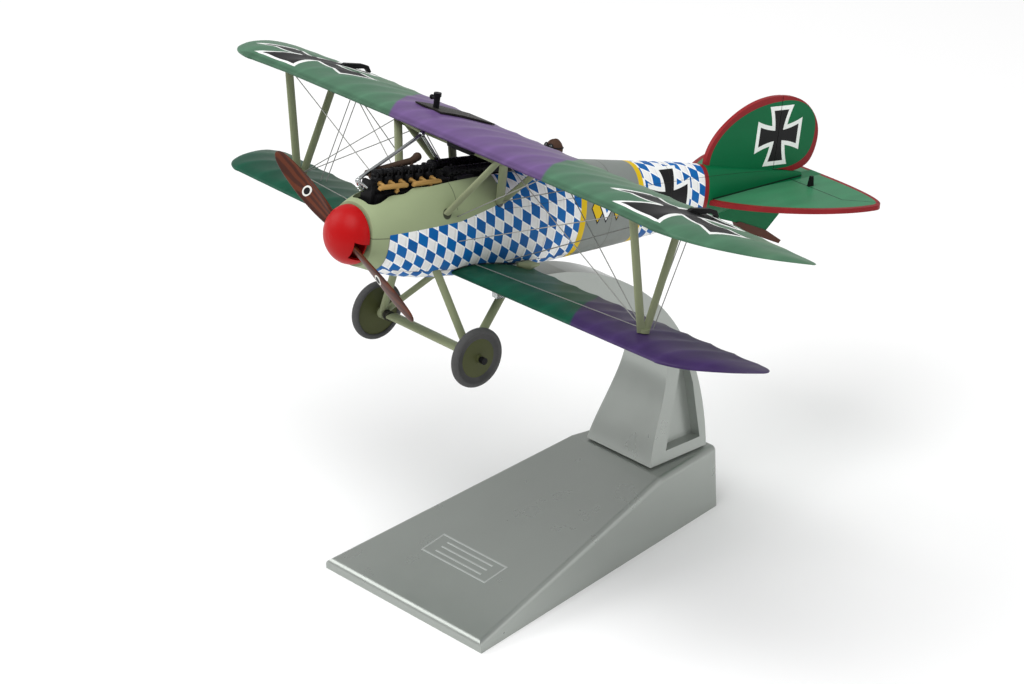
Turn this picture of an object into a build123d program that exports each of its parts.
from build123d import *
import os
from math import atan, cos, degrees, pi, radians, sin, tan

# A 1/48 scale model biplane resting in a cradle on its display stand, in millimetres.
# Row frame: the origin is the centre of the stand's footprint on the surface, +Z is up,
# the nose points to -Y and the port wings reach to +X.
# Aircraft frame: x to port, y aft from the spinner's tip, z up from the nominal axis.

# ---------------------------------------------------------------- driving dimensions
NOSE_Y, NOSE_Z, PITCH = -59.1, 101.8, 11.75     # where the aircraft frame sits, nose up
SEAT_GAP = 0.3                                  # clearance between cradle and airframe
LIFT_LEAN = 22.0                                # lift-off direction, forward of straight up

BASE_FRONT_W, BASE_BACK_W, BASE_L = 59.2, 26.4, 91.6
BASE_EDGE_H, BASE_TOP_H, BASE_CREASE_Y = 2.6, 16.9, 23.4
BASE_WALL, BASE_ROUND = 1.8, 1.5
RIB_T, RIB_COUNT = 1.2, 6
SCREW_R, SCREW_HEAD_R, SCREW_HEAD_H, SCREW_GRIP = 1.2, 2.3, 1.6, 7.0
ARM_FRONT_Y, ARM_BACK_Y = 24.6, 43.2
ARM_FOOT_HALF, ARM_FOOT_GAP, ARM_FOOT_INSET = 12.0, 0.5, 0.8
RECESS_DEPTH = 3.0

CRADLE_T, CRADLE_TOP_Z = 1.3, -12.35
CRADLE_HALF, CRADLE_Y0, CRADLE_Y1 = 15.3, 37.9, 54.6
CRADLE_NOTCH_HALF, CRADLE_NOTCH_Y = 11.0, 43.0
RAIL_X, LIP_Z, LIP_GAP, SLOT_GAP = 8.6, -10.4, 0.35, 0.4
PEG_R, PEG_L, PEG_YS = 1.0, 2.2, (48.5, 52.5)

THRUST_Z = 1.0
SPINNER_R, SPINNER_L, SPINNER_BACK_Y, SPINNER_WALL = 7.0, 5.7, 4.2, 0.8
SHAFT_R, SHAFT_END_Y, SHAFT_PLAY = 0.8, 15.0, 0.06
PROP_R, PROP_Y, PROP_ANGLE = 30.0, 2.1, 156.5
SHELL, SEAM_Z, TAIL_JOINT_Y = 1.1, 1.9, 113.6

# fuselage stations: y, half width, top z, bottom z
STATIONS = [
    (4.7, 7.3, 8.5, -6.4),
    (9.0, 8.3, 10.4, -7.8),
    (16.0, 9.1, 12.0, -9.8),
    (27.0, 9.6, 13.3, -11.3),
    (42.0, 9.7, 14.2, -11.9),
    (56.0, 9.4, 14.0, -11.7),
    (70.0, 8.6, 12.9, -10.8),
    (90.0, 6.6, 10.8, -9.2),
    (108.0, 4.6, 8.8, -7.2),
    (126.0, 2.8, 6.2, -4.6),
    (140.0, 1.5, 4.4, -1.8),
    (149.4, 0.7, 2.9, 0.7),
]
SECTION_POWER, SECTION_POINTS = 2.25, 24

UPPER_LE_Y, UPPER_LE_Z, UPPER_CHORD, UPPER_DROP = 27.4, 22.4, 31.4, 4.2
UPPER_HALF, UPPER_BEND_X, DROOP_X, DROOP = 95.8, 74.5, 58.0, 1.7
LOWER_LE_Y, LOWER_LE_Z, LOWER_CHORD, LOWER_DROP = 30.6, -9.3, 24.6, 1.2
LOWER_HALF, LOWER_BEND_X, LOWER_INNER_X, LOWER_DIHEDRAL = 91.0, 78.0, 3.0, 0.9
RIB_PITCH, SCALLOP, PANEL_RISE = 8.0, 0.7, 0.35

STRUT_CHORD, STRUT_T = 2.3, 1.15
V_FRONT_FOOT, V_REAR_FOOT = (63.0, 39.0, -7.0), (63.0, 40.2, -7.0)
V_FRONT_TOP, V_REAR_TOP = (62.4, 31.8, 22.4), (62.4, 48.0, 21.0)
V_PAD_R, V_PAD_H = 1.4, 1.4
CABANE_FORE, CABANE_MID = (8.6, 25.1, 6.4), (8.8, 41.0, 7.8)
CABANE_FRONT_TOP, CABANE_REAR_TOP = (19.0, 31.4, 22.4), (19.0, 47.0, 21.2)

WHEEL_X, WHEEL_Y, WHEEL_Z = 18.5, 30.8, -26.2
WHEEL_R, TYRE_RADIAL, TYRE_W = 7.3, 1.25, 2.2
HUB_R, HUB_W = 1.0, 3.0
AXLE_R, AXLE_PLAY, AXLE_HEAD_R, AXLE_END_X = 0.55, 0.06, 0.85, 21.4
LEG_X, LEG_RING_R = 15.9, 1.35
LEG_FRONT_TOP, LEG_REAR_TOP = (6.0, 25.2, -6.5), (8.8, 48.4, -10.0)
LEG_FRONT_FOOT, LEG_REAR_FOOT = (LEG_X, WHEEL_Y - 0.3, WHEEL_Z + 0.6), (LEG_X, WHEEL_Y + 0.5, WHEEL_Z + 0.6)
FAIRING_CHORD, FAIRING_T, FAIRING_HALF = 4.2, 1.5, 13.2
CORD_W, CORD_TURNS = 0.46, 4

CYL_COUNT, CYL_PITCH, CYL_Y0, CYL_R, CYL_Z0, CYL_Z1 = 6, 3.1, 9.4, 1.35, 10.6, 14.4
CAM_R, PIPE_R, CASE_HALF = 0.85, 0.62, 2.8
GUN_X, GUN_Z, JACKET_R, TRAY_Z = 2.9, 14.6, 1.15, 11.4

TAIL_HALF, TAIL_TIP_Y, TAIL_FORE, TAIL_AFT = 27.2, 149.5, 35.6, 6.1
TAIL_Z, TAIL_Z_AT, TAIL_TILT, TAIL_T = 0.3, 135.0, 3.7, 1.2
FORE_POWER, AFT_POWER = 1.55, 2.65
FIN_T, HINGE_Y, HINGE_GAP = 1.1, 139.0, 0.15
WIRE_R = 0.12

SIDES = (("port", 1), ("starboard", -1))
FLIGHT = Location((0, NOSE_Y, NOSE_Z), (-PITCH, 0, 0))
BOTTOM = (Align.CENTER, Align.CENTER, Align.MIN)


# ---------------------------------------------------------------- helpers
def side_point(point, side):
    return (side * point[0], point[1], point[2])


def rod(start, end, radius):
    """A round rod between two points."""
    a, b = Vector(*start), Vector(*end)
    return Part(Solid.make_cylinder(radius, (b - a).length, Plane(origin=a, z_dir=b - a)).wrapped)


def strut(start, end, chord=STRUT_CHORD, thick=STRUT_T):
    """A streamlined strut between two points, its chord fore and aft."""
    a, b = Vector(*start), Vector(*end)
    section = Plane(origin=a, x_dir=(0, 1, 0), z_dir=b - a) * Ellipse(chord / 2, thick / 2)
    return extrude(section, amount=(b - a).length, dir=(b - a).normalized())


def block(x0, x1, y0, y1, z0, z1):
    return Pos((x0 + x1) / 2, (y0 + y1) / 2, (z0 + z1) / 2) * Box(x1 - x0, y1 - y0, z1 - z0)


def along_y(x, z, y0, y1, radius):
    return rod((x, y0, z), (x, y1, z), radius)


def along_x(y, z, x0, x1, radius):
    return rod((x0, y, z), (x1, y, z), radius)


def largest(shape):
    """The main solid of a shape, without slivers that a cut has left."""
    return Part() + shape.solids().sort_by(SortBy.VOLUME)[-1]


def union(shapes):
    whole = shapes[0]
    for shape in shapes[1:]:
        whole = whole + shape
    return whole


def side_plate(points, half_t):
    """A flat plate in the plane of symmetry, from an outline of (y, z) points."""
    return extrude(Plane.YZ * make_face(Polyline(*points, close=True)), amount=half_t, both=True)


# ---------------------------------------------------------------- fuselage body
def oval(y, half_w, top, bottom, inset):
    """A rounded section, a little fuller than an ellipse."""
    w, h, mid = half_w - inset, (top - bottom) / 2 - inset, (top + bottom) / 2
    points = []
    for i in range(SECTION_POINTS):
        t = 2 * pi * i / SECTION_POINTS
        c, s = cos(t), sin(t)
        x = w * abs(c) ** (2 / SECTION_POWER) * (1 if c >= 0 else -1)
        z = mid + h * abs(s) ** (2 / SECTION_POWER) * (1 if s >= 0 else -1)
        points.append((x, y, z))
    return make_face(Spline(*points, periodic=True))


def body(stations, inset=0.0):
    return loft([oval(y, w, top, bottom, inset) for y, w, top, bottom in stations])


def front_stations():
    return [s for s in STATIONS if s[0] < TAIL_JOINT_Y + 13]


# ---------------------------------------------------------------- wings
def airfoil_curves(chord, drop):
    """Points of a thin undercambered profile in (chordwise, up), leading edge at the origin."""
    top = [(0.0, 0.0), (0.02, 0.024), (0.14, 0.068), (0.35, 0.082),
           (0.62, 0.060), (0.86, 0.026), (1.0, 0.006)]
    under = [(1.0, -0.008), (0.86, 0.004), (0.62, 0.018), (0.35, 0.022),
             (0.12, 0.0), (0.02, -0.014), (0.0, 0.0)]

    def place(points):
        return [(x * chord, z * chord - drop * x) for x, z in points]

    return place(top), place(under)


def airfoil(chord, drop):
    upper, lower = airfoil_curves(chord, drop)
    edge = Spline(*upper) + Line(upper[-1], lower[0]) + Spline(*lower)
    return make_face(edge)


def scalloped(x0, x1, y):
    """The trailing edge between two stations: an arc drawn in between each pair of ribs."""
    bays = max(1, round(abs(x1 - x0) / RIB_PITCH))
    step = (x1 - x0) / bays
    return [ThreePointArc((x0 + i * step, y), (x0 + (i + 0.5) * step, y - SCALLOP), (x0 + (i + 1) * step, y))
            for i in range(bays)]


def wing_plan(le_y, chord, inner_x, bend_x, half, blunt):
    """The outline of one wing panel from above, with its raked tip and scalloped trailing edge."""
    te_y = le_y + chord
    tip = half - bend_x
    shoulder = (bend_x + 0.43 * tip, le_y + 0.16 * chord)
    cheek = (bend_x + 0.8 * tip, le_y + 0.52 * chord)
    rake = Spline((bend_x, le_y), shoulder, cheek, (half, te_y - blunt), (half - 0.85 * blunt, te_y),
                  tangents=[(1, 0), (-1, 0.1)])
    edge = [Line((inner_x, le_y), (bend_x, le_y)), rake]
    edge += scalloped(half - 0.85 * blunt, inner_x, te_y)
    edge.append(Line((inner_x, te_y), (inner_x, le_y)))
    return extrude(make_face(Wire(Wire.combine(edge)[0].edges())), amount=30, both=True)


def wing_span(x, le_y, le_z, chord, drop, length, rise):
    """The wing's profile run out along the span from one station, rising by an angle in degrees."""
    profile = Plane(origin=(x, le_y, le_z), x_dir=(0, 1, 0), z_dir=(1, 0, 0)) * airfoil(chord, drop)
    return extrude(profile, amount=length, dir=(cos(radians(rise)), 0, sin(radians(rise))))


def upper_wing():
    shape = (UPPER_LE_Y, UPPER_LE_Z, UPPER_CHORD, UPPER_DROP)
    span = wing_span(0, *shape, DROOP_X, 0) + wing_span(DROOP_X, *shape, UPPER_HALF, -DROOP)
    half = span & wing_plan(UPPER_LE_Y, UPPER_CHORD, 0, UPPER_BEND_X, UPPER_HALF, 2.2)
    return half + mirror(half, Plane.YZ)


def lower_wing(side):
    root_z = LOWER_LE_Z + LOWER_INNER_X * tan(radians(LOWER_DIHEDRAL))
    span = wing_span(LOWER_INNER_X, LOWER_LE_Y, root_z, LOWER_CHORD, LOWER_DROP, LOWER_HALF, LOWER_DIHEDRAL)
    half = span & wing_plan(LOWER_LE_Y, LOWER_CHORD, LOWER_INNER_X, LOWER_BEND_X, LOWER_HALF, 4.0)
    return half if side > 0 else mirror(half, Plane.YZ)


def radiator(wing):
    """The cooling panel let into the upper wing to starboard of its centre."""
    raised = (Pos(0, 0, PANEL_RISE) * wing) & block(-22.3, -12.7, 38.6, 56.0, 10, 30)
    return raised - wing


def filler_post(wing):
    post = Pos(-17.3, 40.9, 20) * Cylinder(0.75, 7.0, align=BOTTOM)
    cap = Pos(-17.3, 40.9, 26.2) * Cylinder(0.95, 0.9, align=BOTTOM)
    handle = along_x(40.9, 25.6, -19.2, -17.3, 0.42)
    knob = Pos(-19.2, 40.9, 25.6) * Sphere(0.62)
    return largest((post + cap + handle + knob) - (Pos(0, 0, PANEL_RISE) * wing) - wing)


def aileron_crank(side, wing):
    outline = [(48.6, 20.1), (48.9, 21.2), (49.8, 21.5), (55.2, 20.9), (57.2, 20.3), (58.2, 18.7),
               (57.5, 18.4), (56.5, 19.5), (55.2, 19.8), (50.8, 20.0)]
    plate = side_plate(outline, 0.5)
    return largest((Pos(side * 62.9, 0, 0) * plate) - wing)


# ---------------------------------------------------------------- struts
def interplane_strut(side, lower, upper):
    fore = strut(side_point(V_FRONT_FOOT, side), side_point(V_FRONT_TOP, side))
    aft = strut(side_point(V_REAR_FOOT, side), side_point(V_REAR_TOP, side))
    pad = Pos(side * V_FRONT_FOOT[0], (V_FRONT_FOOT[1] + V_REAR_FOOT[1]) / 2, V_FRONT_FOOT[2] - 0.2)
    return largest((fore + aft + pad * Cylinder(V_PAD_R, V_PAD_H, align=BOTTOM)) - lower - upper)


def cabane_strut(side, hull, upper, tube):
    fore, mid, front, rear = (side_point(p, side) for p in
                              (CABANE_FORE, CABANE_MID, CABANE_FRONT_TOP, CABANE_REAR_TOP))
    ahead = (front[0], front[1] - 0.7, front[2])
    behind = (mid[0], mid[1] + 0.7, mid[2])
    return largest((strut(fore, ahead) + strut(mid, front) + strut(behind, rear)) - hull - upper - tube)


def cross_tube():
    x = CABANE_FRONT_TOP[0] - 0.55
    return along_x(CABANE_FRONT_TOP[1], CABANE_FRONT_TOP[2] - 2.0, -x, x, 0.45)


# ---------------------------------------------------------------- undercarriage
def undercarriage_leg(side, hull, wing):
    ring_centre = (side * LEG_X, WHEEL_Y, WHEEL_Z)
    front = strut(side_point(LEG_FRONT_TOP, side), side_point(LEG_FRONT_FOOT, side))
    rear = strut(side_point(LEG_REAR_TOP, side), side_point(LEG_REAR_FOOT, side))
    ring = Pos(*ring_centre) * Rot(Y=90) * Cylinder(LEG_RING_R, 1.5)
    axle_hole = along_x(WHEEL_Y, WHEEL_Z, -AXLE_END_X, AXLE_END_X, AXLE_R)
    return largest((front + rear + ring) - axle_hole - hull - wing)


def axle():
    pin = along_x(WHEEL_Y, WHEEL_Z, -AXLE_END_X, AXLE_END_X, AXLE_R)
    heads = [along_x(WHEEL_Y, WHEEL_Z, side * (AXLE_END_X - 0.9), side * (AXLE_END_X + 0.1), AXLE_HEAD_R)
             for _, side in SIDES]
    return union([pin] + heads)


def axle_fairing():
    section = Plane.YZ * (Pos(WHEEL_Y + 0.6, WHEEL_Z) * Ellipse(FAIRING_CHORD / 2, FAIRING_T / 2))
    wing = extrude(section, amount=FAIRING_HALF, both=True)
    return wing - along_x(WHEEL_Y, WHEEL_Z, -AXLE_END_X, AXLE_END_X, AXLE_R)


def shock_binding(side):
    """Turns of shock cord round the axle, just inboard of the leg."""
    x0 = FAIRING_HALF + 0.05
    turns = []
    for i in range(CORD_TURNS):
        inner, outer = side * (x0 + CORD_W * i), side * (x0 + CORD_W * (i + 1))
        turns.append(along_x(WHEEL_Y, WHEEL_Z, inner, outer, 1.25 - 0.2 * (i % 2)))
    return union(turns) - along_x(WHEEL_Y, WHEEL_Z, -AXLE_END_X, AXLE_END_X, AXLE_R)


def revolve_about_x(points):
    """A turned piece about the X axis, from (x, radius) points."""
    return revolve(make_face(Polyline(*points, close=True)), Axis.X)


def wheel_disc(side):
    rim, bore = WHEEL_R - TYRE_RADIAL, AXLE_R + AXLE_PLAY
    half = [(HUB_W / 2, bore), (HUB_W / 2, HUB_R), (0.9, HUB_R + 0.1), (0.45, rim - 0.4), (0.45, rim)]
    turned = revolve_about_x([(-x, r) for x, r in half] + half[::-1])
    return Pos(side * WHEEL_X, WHEEL_Y, WHEEL_Z) * turned


def wheel_tyre(side):
    rim, half = WHEEL_R - TYRE_RADIAL, TYRE_W / 2
    outline = [Line((-half * 0.8, rim), (half * 0.8, rim)), Line((half * 0.8, rim), (half, rim + 0.5)),
               ThreePointArc((half, rim + 0.5), (0, WHEEL_R), (-half, rim + 0.5)),
               Line((-half, rim + 0.5), (-half * 0.8, rim))]
    turned = revolve(make_face(Wire(Wire.combine(outline)[0].edges())), Axis.X)
    return Pos(side * WHEEL_X, WHEEL_Y, WHEEL_Z) * turned


# ---------------------------------------------------------------- propeller
def spin_frame(shape):
    """Moves a shape drawn about the Y axis to the propeller's axis."""
    return Pos(0, 0, THRUST_Z) * shape


def spinner():
    def dome(radius, length, back):
        arc = [(radius * cos(pi * i / 24), -length * sin(pi * i / 24)) for i in range(13)]
        edge = Spline(*arc, tangents=[(0, -1), (-1, 0)]) + Line(arc[-1], (0, back))
        edge = edge + Line((0, back), (radius, back)) + Line((radius, back), arc[0])
        return revolve(make_face(edge), Axis.Y)

    shell = dome(SPINNER_R, SPINNER_L, 0.2) - dome(SPINNER_R - SPINNER_WALL, SPINNER_L - SPINNER_WALL, 1.0)
    shell = Pos(0, SPINNER_BACK_Y - 0.2, 0) * shell
    slot = block(3.0, 9.0, PROP_Y - 1.35, SPINNER_BACK_Y + 1, -2.3, 2.3)
    slots = [Rot(Y=-PROP_ANGLE + turn) * slot for turn in (0, 180)]
    return spin_frame(shell - union(slots))


def propeller():
    stations = [(2.0, 2.6, 2.2, 55), (6.0, 3.4, 1.6, 48), (11.0, 4.3, 1.25, 36), (17.0, 4.7, 0.95, 27),
                (23.0, 4.3, 0.75, 21), (27.5, 3.1, 0.6, 18), (PROP_R, 1.3, 0.45, 16)]
    sections = []
    for r, chord, thick, pitch in stations:
        across = (0, -sin(radians(pitch)), cos(radians(pitch)))
        plane = Plane(origin=(r, PROP_Y, 0), x_dir=across, z_dir=(1, 0, 0))
        sections.append(plane * Ellipse(chord / 2, thick / 2))
    blade = loft(sections)
    hub = rod((0, PROP_Y - 1.3, 0), (0, PROP_Y + 1.3, 0), 2.6)
    whole = (hub + blade + Rot(Y=180) * blade) - rod((0, 0, 0), (0, 5, 0), SHAFT_R)
    return spin_frame(Rot(Y=-PROP_ANGLE) * whole)


def spinner_backplate():
    plate = rod((0, SPINNER_BACK_Y - 0.4, 0), (0, SPINNER_BACK_Y, 0), SPINNER_R - SPINNER_WALL - 0.02)
    return spin_frame(plate - rod((0, 0, 0), (0, 8, 0), SHAFT_R))


def propeller_shaft():
    shaft = rod((0, PROP_Y - 1.3, 0), (0, SHAFT_END_Y, 0), SHAFT_R)
    nut = rod((0, PROP_Y - 2.2, 0), (0, PROP_Y - 1.3, 0), 1.3)
    return spin_frame(shaft + nut)


def shaft_collar():
    return spin_frame(rod((0, 7.0, 0), (0, 8.6, 0), 1.7) - rod((0, 6, 0), (0, 10, 0), SHAFT_R))


def nose_bulkhead(cavity):
    plate = cavity & block(-12, 12, 4.7, 6.6, -12, 14)
    return plate - spin_frame(rod((0, 0, 0), (0, 10, 0), SHAFT_R + SHAFT_PLAY))


# ---------------------------------------------------------------- fuselage shells
def bay_outline():
    """The engine and gun opening in the top deck, seen from above, with its scalloped sides."""
    half = [(2.6, 6.0), (4.0, 7.4), (4.1, 9.4), (3.7, 11.6), (4.3, 14.6), (4.2, 16.2),
            (3.6, 18.2), (4.1, 21.5), (4.3, 26.0), (4.3, 32.0), (4.3, 40.0), (4.3, 49.6)]
    right = Spline(*half)
    left = mirror(right, Plane.YZ)
    return make_face(Wire(Wire.combine([right, left, Line(half[0], (-half[0][0], half[0][1])),
                                        Line(half[-1], (-half[-1][0], half[-1][1]))])[0].edges()))


def cockpit_outline(grow=0.0):
    return Pos(0, 60.5) * Ellipse(6.4 + grow, 6.6 + grow)


def fuselage_upper(shell):
    upper = shell & block(-12, 12, 0, TAIL_JOINT_Y, SEAM_Z, 20)
    upper -= Pos(0, 0, 8) * extrude(bay_outline(), amount=12)
    upper -= Pos(0, 0, 6) * extrude(cockpit_outline(), amount=12)
    return upper


def fuselage_lower(shell):
    lower = shell & block(-12, 12, 0, TAIL_JOINT_Y, -16, SEAM_Z)
    return lower - belly_block()


def belly_block():
    return block(-12, 12, 56.6, 68.5, -16, -7.6)


def coaming(hull):
    """The padded leather rim of the cockpit, laid along the edge of its opening."""
    ring = extrude(cockpit_outline(0.75) - cockpit_outline(-0.05), amount=20)
    skin = (Pos(0, 0, 0.55) * hull) - hull
    return ring & skin


# ---------------------------------------------------------------- engine and guns
def engine_crankcase():
    case = block(-CASE_HALF, CASE_HALF, 8.4, 27.2, 5.0, CYL_Z0)
    front = block(-1.9, 1.9, 7.4, 8.4, 6.5, 13.6)
    return case + front


def engine_cylinders():
    cylinders = []
    for i in range(CYL_COUNT):
        y = CYL_Y0 + 0.6 + CYL_PITCH * i
        barrel = Pos(0, y, CYL_Z0) * Cylinder(CYL_R, CYL_Z1 - CYL_Z0, align=BOTTOM)
        flange = Pos(0, y, CYL_Z0 + 1.2) * Cylinder(CYL_R + 0.15, 0.5, align=BOTTOM)
        cylinders.append(barrel + flange)
    return Compound(children=cylinders)


def camshaft_housing():
    last = CYL_Y0 + 0.6 + CYL_PITCH * (CYL_COUNT - 1)
    tube = along_y(0, CYL_Z1 + CAM_R, CYL_Y0 - 0.9, last + 1.4, CAM_R)
    boxes = []
    for i in range(CYL_COUNT):
        y = CYL_Y0 + 0.1 + CYL_PITCH * i
        boxes.append(block(-1.2, 1.2, y, y + 1.0, CYL_Z1, CYL_Z1 + 1.5))
    return union([tube] + boxes)


def intake_manifold():
    pieces = []
    for y0, y1 in ((8.4, 16.4), (18.4, 26.4)):
        run = along_y(3.5, 12.7, y0, y1, PIPE_R)
        stem = rod((3.5, (y0 + y1) / 2 + 1.2, 12.7), (3.5, (y0 + y1) / 2 + 1.2, 11.2), 0.5)
        ports = [rod((1.0, y, 12.7), (3.5, y, 12.7), 0.45) for y in (y0 + 0.9, y1 - 0.9)]
        pieces.append(union([run, stem] + ports) - engine_clearance())
    return Compound(children=pieces)


def engine_clearance():
    """The space of the cylinders, which the manifolds' branches butt against."""
    barrel = Cylinder(CYL_R + 0.15, CYL_Z1 - CYL_Z0 + 0.3, align=BOTTOM)
    return union([Pos(0, CYL_Y0 + 0.6 + CYL_PITCH * i, CYL_Z0) * barrel for i in range(CYL_COUNT)])


def exhaust_manifold():
    run = rod((-3.2, 9.6, 14.2), (-3.2, 22.8, 15.9), 0.8)
    branches = []
    for i in range(CYL_COUNT):
        y = CYL_Y0 + 0.6 + CYL_PITCH * i
        if y < 23.0:
            branches.append(rod((-0.9, y, 13.0), (-3.2, y, 14.2 + 0.129 * (y - 9.6)), 0.5))
    outlet = rod((-3.2, 22.6, 15.9), (-3.65, 24.8, 16.6), 0.95)
    mouth = Pos(-3.65, 24.8, 16.6) * Sphere(1.1)
    return union([run, outlet, mouth] + branches) - engine_clearance()


def radiator_pipe(wing):
    knuckle = Pos(-7.6, 28.9, 20.6) * Sphere(0.75)
    front = rod((-7.6, 28.9, 20.6), (-0.4, 4.9, 13.9), 0.42)
    bend = rod((-0.4, 4.9, 13.9), (-0.4, 5.1, 12.8), 0.5)
    rear = rod((-7.6, 28.9, 20.6), (-4.9, 32.6, 14.6), 0.42)
    stub = rod((-7.6, 28.9, 20.6), (-8.2, 30.2, 22.4), 0.5)
    elbow = rod((-0.4, 5.1, 12.8), (-0.4, 6.8, 11.2), 0.5)
    return union([knuckle, front, rear, stub, bend, elbow]) - wing


def gun(side):
    x = side * GUN_X
    muzzle = along_y(x, GUN_Z, 26.2, 27.2, 0.8)
    barrel = along_y(x, GUN_Z, 27.0, 28.4, 0.5)
    collar = along_y(x, GUN_Z, 28.2, 28.9, JACKET_R + 0.15)
    jacket = along_y(x, GUN_Z, 28.8, 41.4, JACKET_R)
    breech = block(x - 0.95, x + 0.95, 41.4, 48.8, GUN_Z - 1.3, GUN_Z + 1.2)
    return union([muzzle, barrel, collar, jacket, breech])


def gun_tray():
    """The floor under the guns, which closes the opening behind the engine."""
    top = TRAY_Z + 0.8
    tray = [block(-4.1, 4.1, 29.0, 49.4, TRAY_Z, top)]
    for _, side in SIDES:
        x0, x1 = side * GUN_X - 0.7, side * GUN_X + 0.7
        tray.append(block(x0, x1, 30.4, 31.6, top, GUN_Z - JACKET_R))
        tray.append(block(x0, x1, 43.0, 46.0, top, GUN_Z - 1.3))
    return union(tray)


# ---------------------------------------------------------------- cockpit
def cockpit_floor():
    return block(-5.4, 5.4, 51.0, 69.0, -5.4, -4.6)


def pilot_seat():
    pan = block(-3.4, 3.4, 57.5, 66.0, -1.2, -0.4)
    back = block(-3.4, 3.4, 66.0, 66.9, -1.2, 8.5)
    pedestal = block(-2.2, 2.2, 59.0, 64.5, -4.6, -1.2)
    return pan + back + pedestal


def pilot_body():
    torso = Pos(0, 63.4, 5.0) * scale(Sphere(1), by=(4.4, 2.3, 6.6))
    shoulders = Pos(0, 63.5, 9.6) * scale(Sphere(1), by=(5.0, 2.1, 2.3))
    legs = [rod((s * 1.9, 62.4, 0.9), (s * 2.2, 54.0, 1.6), 1.2) for _, s in SIDES]
    arms = [rod((s * 4.3, 63.2, 9.0), (s * 3.2, 57.0, 5.0), 0.9) for _, s in SIDES]
    whole = union([torso, shoulders] + legs + arms)
    whole -= block(-6, 6, 50, 70, -5, -0.4)
    return whole - pilot_seat() - neck_space()


def neck_space():
    return Pos(0, 63.9, 10.6) * Cylinder(1.15, 6, align=BOTTOM)


def pilot_head():
    neck = Pos(0, 63.9, 10.6) * Cylinder(1.15, 3.5, align=BOTTOM)
    skull = Pos(0, 64.2, 16.0) * scale(Sphere(1), by=(2.0, 2.35, 2.6))
    return neck + skull


# ---------------------------------------------------------------- tail
def tail_cone(hull, tail):
    return largest((hull & block(-12, 12, TAIL_JOINT_Y, 160, -16, 16)) - tail)


def fin_outline():
    return [(115.0, 8.6), (117.4, 14.4), (121.6, 18.4), (127.2, 21.6), (133.2, 23.3), (HINGE_Y, 23.55)]


def fin(hull):
    front = Spline(*fin_outline())
    edges = [front, Line((HINGE_Y, 23.55), (HINGE_Y, 2.0)), Line((HINGE_Y, 2.0), (115.0, 2.0)),
             Line((115.0, 2.0), (115.0, 8.6))]
    face = Plane.YZ * make_face(Wire(Wire.combine(edges)[0].edges()))
    return largest(extrude(face, amount=FIN_T / 2, both=True) - hull)


def rudder(hull, tail):
    y0 = HINGE_Y + HINGE_GAP
    sweep_edge = Spline((y0, 23.5), (145.4, 22.2), (150.2, 18.9), (153.2, 13.6), (153.0, 9.0), (150.9, 5.2),
                        (147.0, 3.7), (y0, 4.7), tangents=[(1, -0.05), (-1, 0.12)])
    edges = [sweep_edge, Line((y0, 4.7), (y0, 23.5))]
    face = Plane.YZ * make_face(Wire(Wire.combine(edges)[0].edges()))
    return largest(extrude(face, amount=FIN_T / 2, both=True) - (Pos(0, 0, 0.15) * hull) - hull - tail)


def tailplane():
    """One plate through the tail cone: a rounded outline of powers, tilted a little."""
    n = 10
    turn = [pi / 2 * i / n for i in range(n + 1)]
    fore = [(TAIL_HALF * sin(t) ** (2 / FORE_POWER), TAIL_TIP_Y - TAIL_FORE * cos(t) ** (2 / FORE_POWER))
            for t in turn]
    aft = [(TAIL_HALF * cos(t) ** (2 / AFT_POWER), TAIL_TIP_Y + TAIL_AFT * sin(t) ** (2 / AFT_POWER))
           for t in turn]
    edges = [Spline(*fore), Spline(*aft), Line(aft[-1], fore[0])]
    plan = make_face(Wire(Wire.combine(edges)[0].edges()))
    half = Pos(0, 0, -TAIL_T / 2) * extrude(plan, amount=TAIL_T)
    plate = half + mirror(half, Plane.YZ)
    return Pos(0, TAIL_Z_AT, TAIL_Z) * (Rot(X=TAIL_TILT) * (Pos(0, -TAIL_Z_AT, 0) * plate))


def elevator_horns(tail):
    outline = [(144.8, 0.9), (146.8, 0.9), (146.2, 4.2), (145.4, 4.2)]
    plate = side_plate(outline, 0.35)
    return Compound(children=[largest((Pos(side * 7.6, 0, 0) * plate) - tail) for _, side in SIDES])


def ventral_fin(hull, skid, tail):
    outline = [(119.5, -2.0), (123.0, -6.9), (128.8, -8.4), (139.5, -11.6), (143.4, -7.6), (147.0, 1.0)]
    return largest(side_plate(outline, FIN_T / 2) - hull - skid - tail)


def tail_skid():
    outline = [(128.4, -8.4), (129.6, -10.2), (144.6, -15.4), (145.3, -14.6), (139.5, -11.4), (129.6, -8.2)]
    return side_plate(outline, 0.75)


# ---------------------------------------------------------------- rigging
def rigging(side, obstacles):
    """Every wire of one wing cell, each cut off where it meets what holds it."""
    v_foot, v_front, v_rear = (62.6, 39.4, -5.9), (61.9, 31.9, 21.6), (61.9, 47.6, 20.2)
    runs = [
        (v_foot, (19.2, 31.6, 21.6)),
        (v_foot, (19.2, 46.6, 20.4)),
        (v_front, (8.6, 29.0, -0.8)),
        (v_rear, (8.6, 45.4, -7.2)),
        ((60.0, 45.5, -8.0), (60.0, 55.0, 20.3)),
        ((60.0, 43.6, -8.0), (60.0, 52.8, 20.3)),
        ((8.6, 35.9, -7.0), v_foot),
        (CABANE_MID, (38.0, 48.6, 20.6)),
        ((8.6, 28.0, 5.2), (35.0, 30.6, 22.6)),
    ]
    wires = [rod(side_point(a, side), side_point(b, side), WIRE_R) for a, b in runs]
    return Compound(children=[trimmed(wire, obstacles) for wire in wires])


def trimmed(shape, obstacles):
    for obstacle in obstacles:
        shape = shape - obstacle
    return largest(shape)


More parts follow.
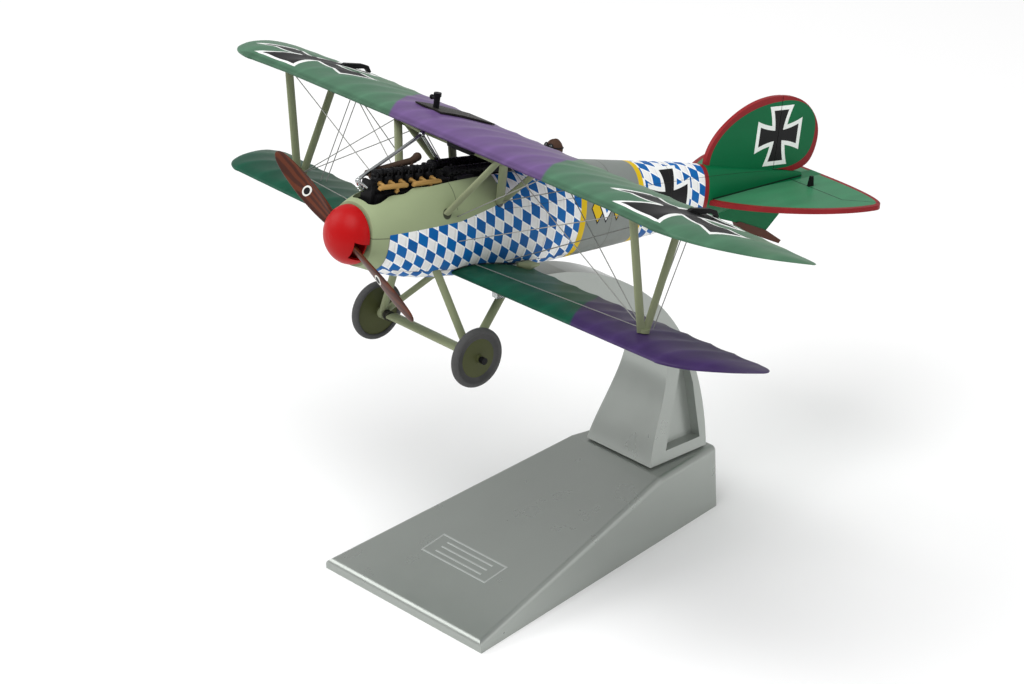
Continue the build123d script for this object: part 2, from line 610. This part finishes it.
# ---------------------------------------------------------------- display stand
def base_prism(inset, height):
    hf, hb, hl = BASE_FRONT_W / 2 - inset, BASE_BACK_W / 2 - inset, BASE_L / 2 - inset
    return extrude(make_face(Polyline((-hf, -hl), (hf, -hl), (hb, hl), (-hb, hl), close=True)), amount=height)


def wedge(inset):
    """The ramp with its platform, shrunk by a wall on every side and from above."""
    hl = BASE_L / 2
    profile = [(-hl, 0), (-hl, BASE_EDGE_H - inset), (BASE_CREASE_Y, BASE_TOP_H - inset),
               (hl, BASE_TOP_H - inset), (hl, 0)]
    return side_plate(profile, BASE_FRONT_W) & base_prism(inset, BASE_TOP_H)


def ramp_mark():
    """A plain raised border with three bars, laid on the ramp as decoration."""
    run = BASE_CREASE_Y + BASE_L / 2
    slope = degrees(atan((BASE_TOP_H - BASE_EDGE_H) / run))
    wide, deep, line, high = 24.0, 7.5, 0.35, 0.16
    border = Box(wide, deep, high) - Box(wide - 2 * line, deep - 2 * line, 1)
    bars = [Pos(0, y, 0) * Box(wide - 7, line, high) for y in (-1.9, 0, 1.9)]
    mark = union([border] + bars)
    y = -26.0
    z = BASE_EDGE_H + (y + BASE_L / 2) * (BASE_TOP_H - BASE_EDGE_H) / run
    return Pos(0, y, z) * (Rot(X=slope) * mark)


def stand_base(mid_y):
    outer = wedge(0)
    rims = outer.edges().filter_by(lambda e: e.center().Z > BASE_EDGE_H - 0.1
                                   and (abs(e.center().Y - BASE_CREASE_Y) > 0.5))
    outer = fillet(rims, BASE_ROUND)
    shell = outer - wedge(BASE_WALL)
    cavity = wedge(BASE_WALL - 0.2)
    ribs = [block(-RIB_T / 2, RIB_T / 2, -BASE_L / 2, BASE_L / 2, 0, BASE_TOP_H)]
    pitch = BASE_L / (RIB_COUNT + 1)
    for i in range(RIB_COUNT):
        y = (i + 1) * pitch - BASE_L / 2
        ribs.append(block(-BASE_FRONT_W, BASE_FRONT_W, y - RIB_T / 2, y + RIB_T / 2, 0, BASE_TOP_H))
    boss = Pos(0, mid_y, 2.0) * Cylinder(4.0, BASE_TOP_H - 2.0, align=BOTTOM)
    shell = union([shell, (union(ribs) & cavity), (boss & wedge(0.3)), ramp_mark()])
    shell -= Pos(0, mid_y, -1) * Cylinder(SCREW_R, BASE_TOP_H + 5, align=BOTTOM)
    shell -= Pos(0, mid_y, -1) * Cylinder(SCREW_HEAD_R + 0.3, 5.0, align=BOTTOM)
    return shell


def arm_screw(mid_y):
    head = Pos(0, mid_y, 4.0 - SCREW_HEAD_H) * Cylinder(SCREW_HEAD_R, SCREW_HEAD_H, align=BOTTOM)
    slot = Pos(0, mid_y, 4.0 - SCREW_HEAD_H) * Box(2.6, 0.6, 1.2)
    shank = Pos(0, mid_y, 4.0) * Cylinder(SCREW_R, BASE_TOP_H - 4.0 + SCREW_GRIP, align=BOTTOM)
    return head + shank - slot - (Pos(0, mid_y, 4.0 - SCREW_HEAD_H) * Box(0.6, 2.6, 1.2))


def arm_width(inset):
    """The arm seen from ahead: broad at the foot and waisted towards the top."""
    half = [(ARM_FOOT_HALF, BASE_TOP_H), (9.9, 28.0), (8.2, 38.0), (6.6, 48.0),
            (5.4, 60.0), (4.7, 71.0), (4.6, 84.0)]
    right = Spline(*[(x - inset, z) for x, z in half])
    left = mirror(right, Plane.YZ)
    low, high = (half[0][0] - inset, half[0][1]), (half[-1][0] - inset, half[-1][1])
    outline = Wire.combine([right, left, Line(low, (-low[0], low[1])), Line(high, (-high[0], high[1]))])[0]
    return extrude(Plane.XZ * make_face(Wire(outline.edges())), amount=60, both=True)


def stand_arm(mid_y, cut):
    floor = BASE_TOP_H + ARM_FOOT_GAP
    back = Spline((ARM_BACK_Y, floor), (44.0, 33.0), (40.5, 47.0), (31.8, 59.4), (22.8, 66.6), (13.2, 71.7),
                  (3.7, 75.0), (-8.0, 78.0), (-19.8, 81.0))
    front = Spline((-19.4, 78.5), (-15.0, 75.8), (-8.0, 72.3), (4.0, 69.0), (13.0, 65.2), (22.0, 60.0),
                   (29.2, 53.5), (33.8, 46.5), (34.4, 40.5), (32.4, 34.0), (28.6, 26.5), (ARM_FRONT_Y, floor))
    nose = Line((-19.8, 81.0), (-19.4, 78.5))
    edges = [back, nose, front, Line((ARM_FRONT_Y, floor), (ARM_BACK_Y, floor))]
    profile = Plane.YZ * make_face(Wire(Wire.combine(edges)[0].edges()))
    arm = extrude(profile, amount=14, both=True) & arm_width(0)
    window = [(30.3, 20.0), (41.6, 20.0), (42.0, 34.0), (40.6, 43.5), (39.4, 45.0), (38.2, 38.0)]
    recess = side_plate(window, 14) - arm_width(RECESS_DEPTH)
    arm -= recess
    side, inset = ARM_FOOT_HALF - ARM_FOOT_INSET, ARM_FOOT_INSET
    arm += block(-side, side, ARM_FRONT_Y + inset, ARM_BACK_Y - inset, BASE_TOP_H, floor)
    for shape in cut:
        arm -= shape
    return largest(arm - (Pos(0, mid_y, BASE_TOP_H - 1) * Cylinder(SCREW_R, SCREW_GRIP + 1, align=BOTTOM)))


def seat_cutter(side):
    """All the space over one lower wing's underside, leaning forward with the way the model lifts off."""
    _, under = airfoil_curves(LOWER_CHORD, LOWER_DROP)
    lowered = [(x, z - SEAT_GAP) for x, z in under]
    height = 25.0
    lean = height * tan(radians(LIFT_LEAN))
    rear = (lowered[0][0] + LIP_GAP, lowered[0][1])
    fore_top, aft_top = (-lean, height), (rear[0] - lean, height)
    edge = Spline(*lowered) + Line(lowered[-1], fore_top) + Line(fore_top, aft_top)
    edge = edge + Line(aft_top, rear) + Line(rear, lowered[0])
    plane = Plane(origin=(0, LOWER_LE_Y, LOWER_LE_Z), x_dir=(0, 1, 0), z_dir=(1, 0, 0))
    cutter = Rot(Y=-LOWER_DIHEDRAL) * extrude(plane * make_face(edge), amount=CRADLE_HALF + 5)
    return cutter if side > 0 else mirror(cutter, Plane.YZ)


def leg_slot(side):
    """The path that a rear undercarriage leg sweeps as the model lifts off."""
    top, foot = Vector(*side_point(LEG_REAR_TOP, side)), Vector(*side_point(LEG_REAR_FOOT, side))
    top = top + (top - foot).normalized() * 2.5
    way = Vector(0, -sin(radians(LIFT_LEAN)), cos(radians(LIFT_LEAN)))
    low, high = way * -STRUT_CHORD, way * 40
    outline = Polyline(top + low, foot + low, foot + high, top + high, close=True)
    return extrude(make_face(outline), amount=STRUT_T / 2 + SLOT_GAP, both=True)


def pegs():
    peg = Cylinder(PEG_R, PEG_L, align=(Align.CENTER, Align.CENTER, Align.MAX))
    return [Pos(0, y, CRADLE_TOP_Z - CRADLE_T) * peg for y in PEG_YS]


def cradle():
    """The clear cradle: a plate with a saddle and a low lip for each lower wing, pegged onto the arm."""
    under = CRADLE_TOP_Z - CRADLE_T
    whole = block(-CRADLE_HALF, CRADLE_HALF, CRADLE_Y0, CRADLE_Y1, under, CRADLE_TOP_Z)
    for _, side in SIDES:
        x0, x1 = sorted((side * RAIL_X, side * CRADLE_HALF))
        whole += block(x0, x1, CRADLE_Y0, CRADLE_Y1, under, LIP_Z)
    notch = CRADLE_NOTCH_HALF
    whole -= block(-notch, notch, CRADLE_Y0 - 1, CRADLE_NOTCH_Y, under - 1, LIP_Z + 1)
    for _, side in SIDES:
        whole = whole - seat_cutter(side) - leg_slot(side)
    return union([largest(whole)] + pegs())


# ---------------------------------------------------------------- assembly
def aircraft_nodes():
    hull = body(STATIONS)
    cavity = body(front_stations(), SHELL)
    shell = hull - cavity
    upper = upper_wing()
    lower = {name: lower_wing(side) - hull for name, side in SIDES}
    skid = tail_skid()
    tail = tailplane()
    tube = cross_tube()
    nodes = {
        "fuselage_upper": fuselage_upper(shell),
        "fuselage_lower": fuselage_lower(shell),
        "belly_panel": shell & belly_block(),
        "nose_bulkhead": nose_bulkhead(cavity),
        "upper_wing": upper,
        "wing_radiator": radiator(upper),
        "radiator_filler": filler_post(upper),
        "cabane_cross_tube": tube,
        "engine_crankcase": engine_crankcase(),
        "engine_cylinders": engine_cylinders(),
        "camshaft_housing": camshaft_housing(),
        "intake_manifold": intake_manifold(),
        "exhaust_manifold": exhaust_manifold(),
        "radiator_pipes": radiator_pipe(upper),
        "gun_tray": gun_tray(),
        "cockpit_floor": cockpit_floor(),
        "cockpit_coaming": coaming(hull),
        "pilot_seat": pilot_seat(),
        "pilot_body": pilot_body(),
        "pilot_head": pilot_head(),
        "tail_cone": tail_cone(hull, tail),
        "tailplane": tail,
        "elevator_horns": elevator_horns(tail),
        "fin": fin(hull),
        "rudder": rudder(hull, tail),
        "ventral_fin": ventral_fin(hull, skid, tail),
        "tail_skid": skid,
        "axle": axle(),
        "axle_fairing": axle_fairing(),
        "propeller": propeller(),
        "spinner": spinner(),
        "spinner_backplate": spinner_backplate(),
        "propeller_shaft": propeller_shaft(),
        "shaft_collar": shaft_collar(),
    }
    for name, side in SIDES:
        nodes["lower_wing_" + name] = lower[name]
        nodes["interplane_strut_" + name] = interplane_strut(side, lower[name], upper)
        nodes["cabane_strut_" + name] = cabane_strut(side, hull, upper, tube)
        nodes["aileron_crank_" + name] = aileron_crank(side, upper)
        nodes["undercarriage_leg_" + name] = undercarriage_leg(side, hull, lower[name])
        nodes["shock_binding_" + name] = shock_binding(side)
        nodes["wheel_disc_" + name] = wheel_disc(side)
        nodes["wheel_tyre_" + name] = wheel_tyre(side)
        nodes["gun_" + name] = gun(side)
        holders = [hull, upper, lower[name], nodes["interplane_strut_" + name], nodes["cabane_strut_" + name],
                   nodes["undercarriage_leg_" + name]]
        nodes["rigging_" + name] = rigging(side, holders)
    return nodes


def stand_nodes():
    mid_y = (ARM_FRONT_Y + ARM_BACK_Y) / 2
    seat = block(-40, 40, -10, 90, CRADLE_TOP_Z - CRADLE_T, 10)
    cut = [FLIGHT * shape for shape in [seat] + pegs()]
    return {
        "stand_base": stand_base(mid_y),
        "stand_arm": stand_arm(mid_y, cut),
        "arm_screw": arm_screw(mid_y),
        "cradle": FLIGHT * cradle(),
    }


def main():
    os.makedirs("parts", exist_ok=True)
    nodes = {name: FLIGHT * shape for name, shape in aircraft_nodes().items()}
    nodes.update(stand_nodes())
    for name, shape in nodes.items():
        export_step(shape, "parts/" + name + ".step")


main()
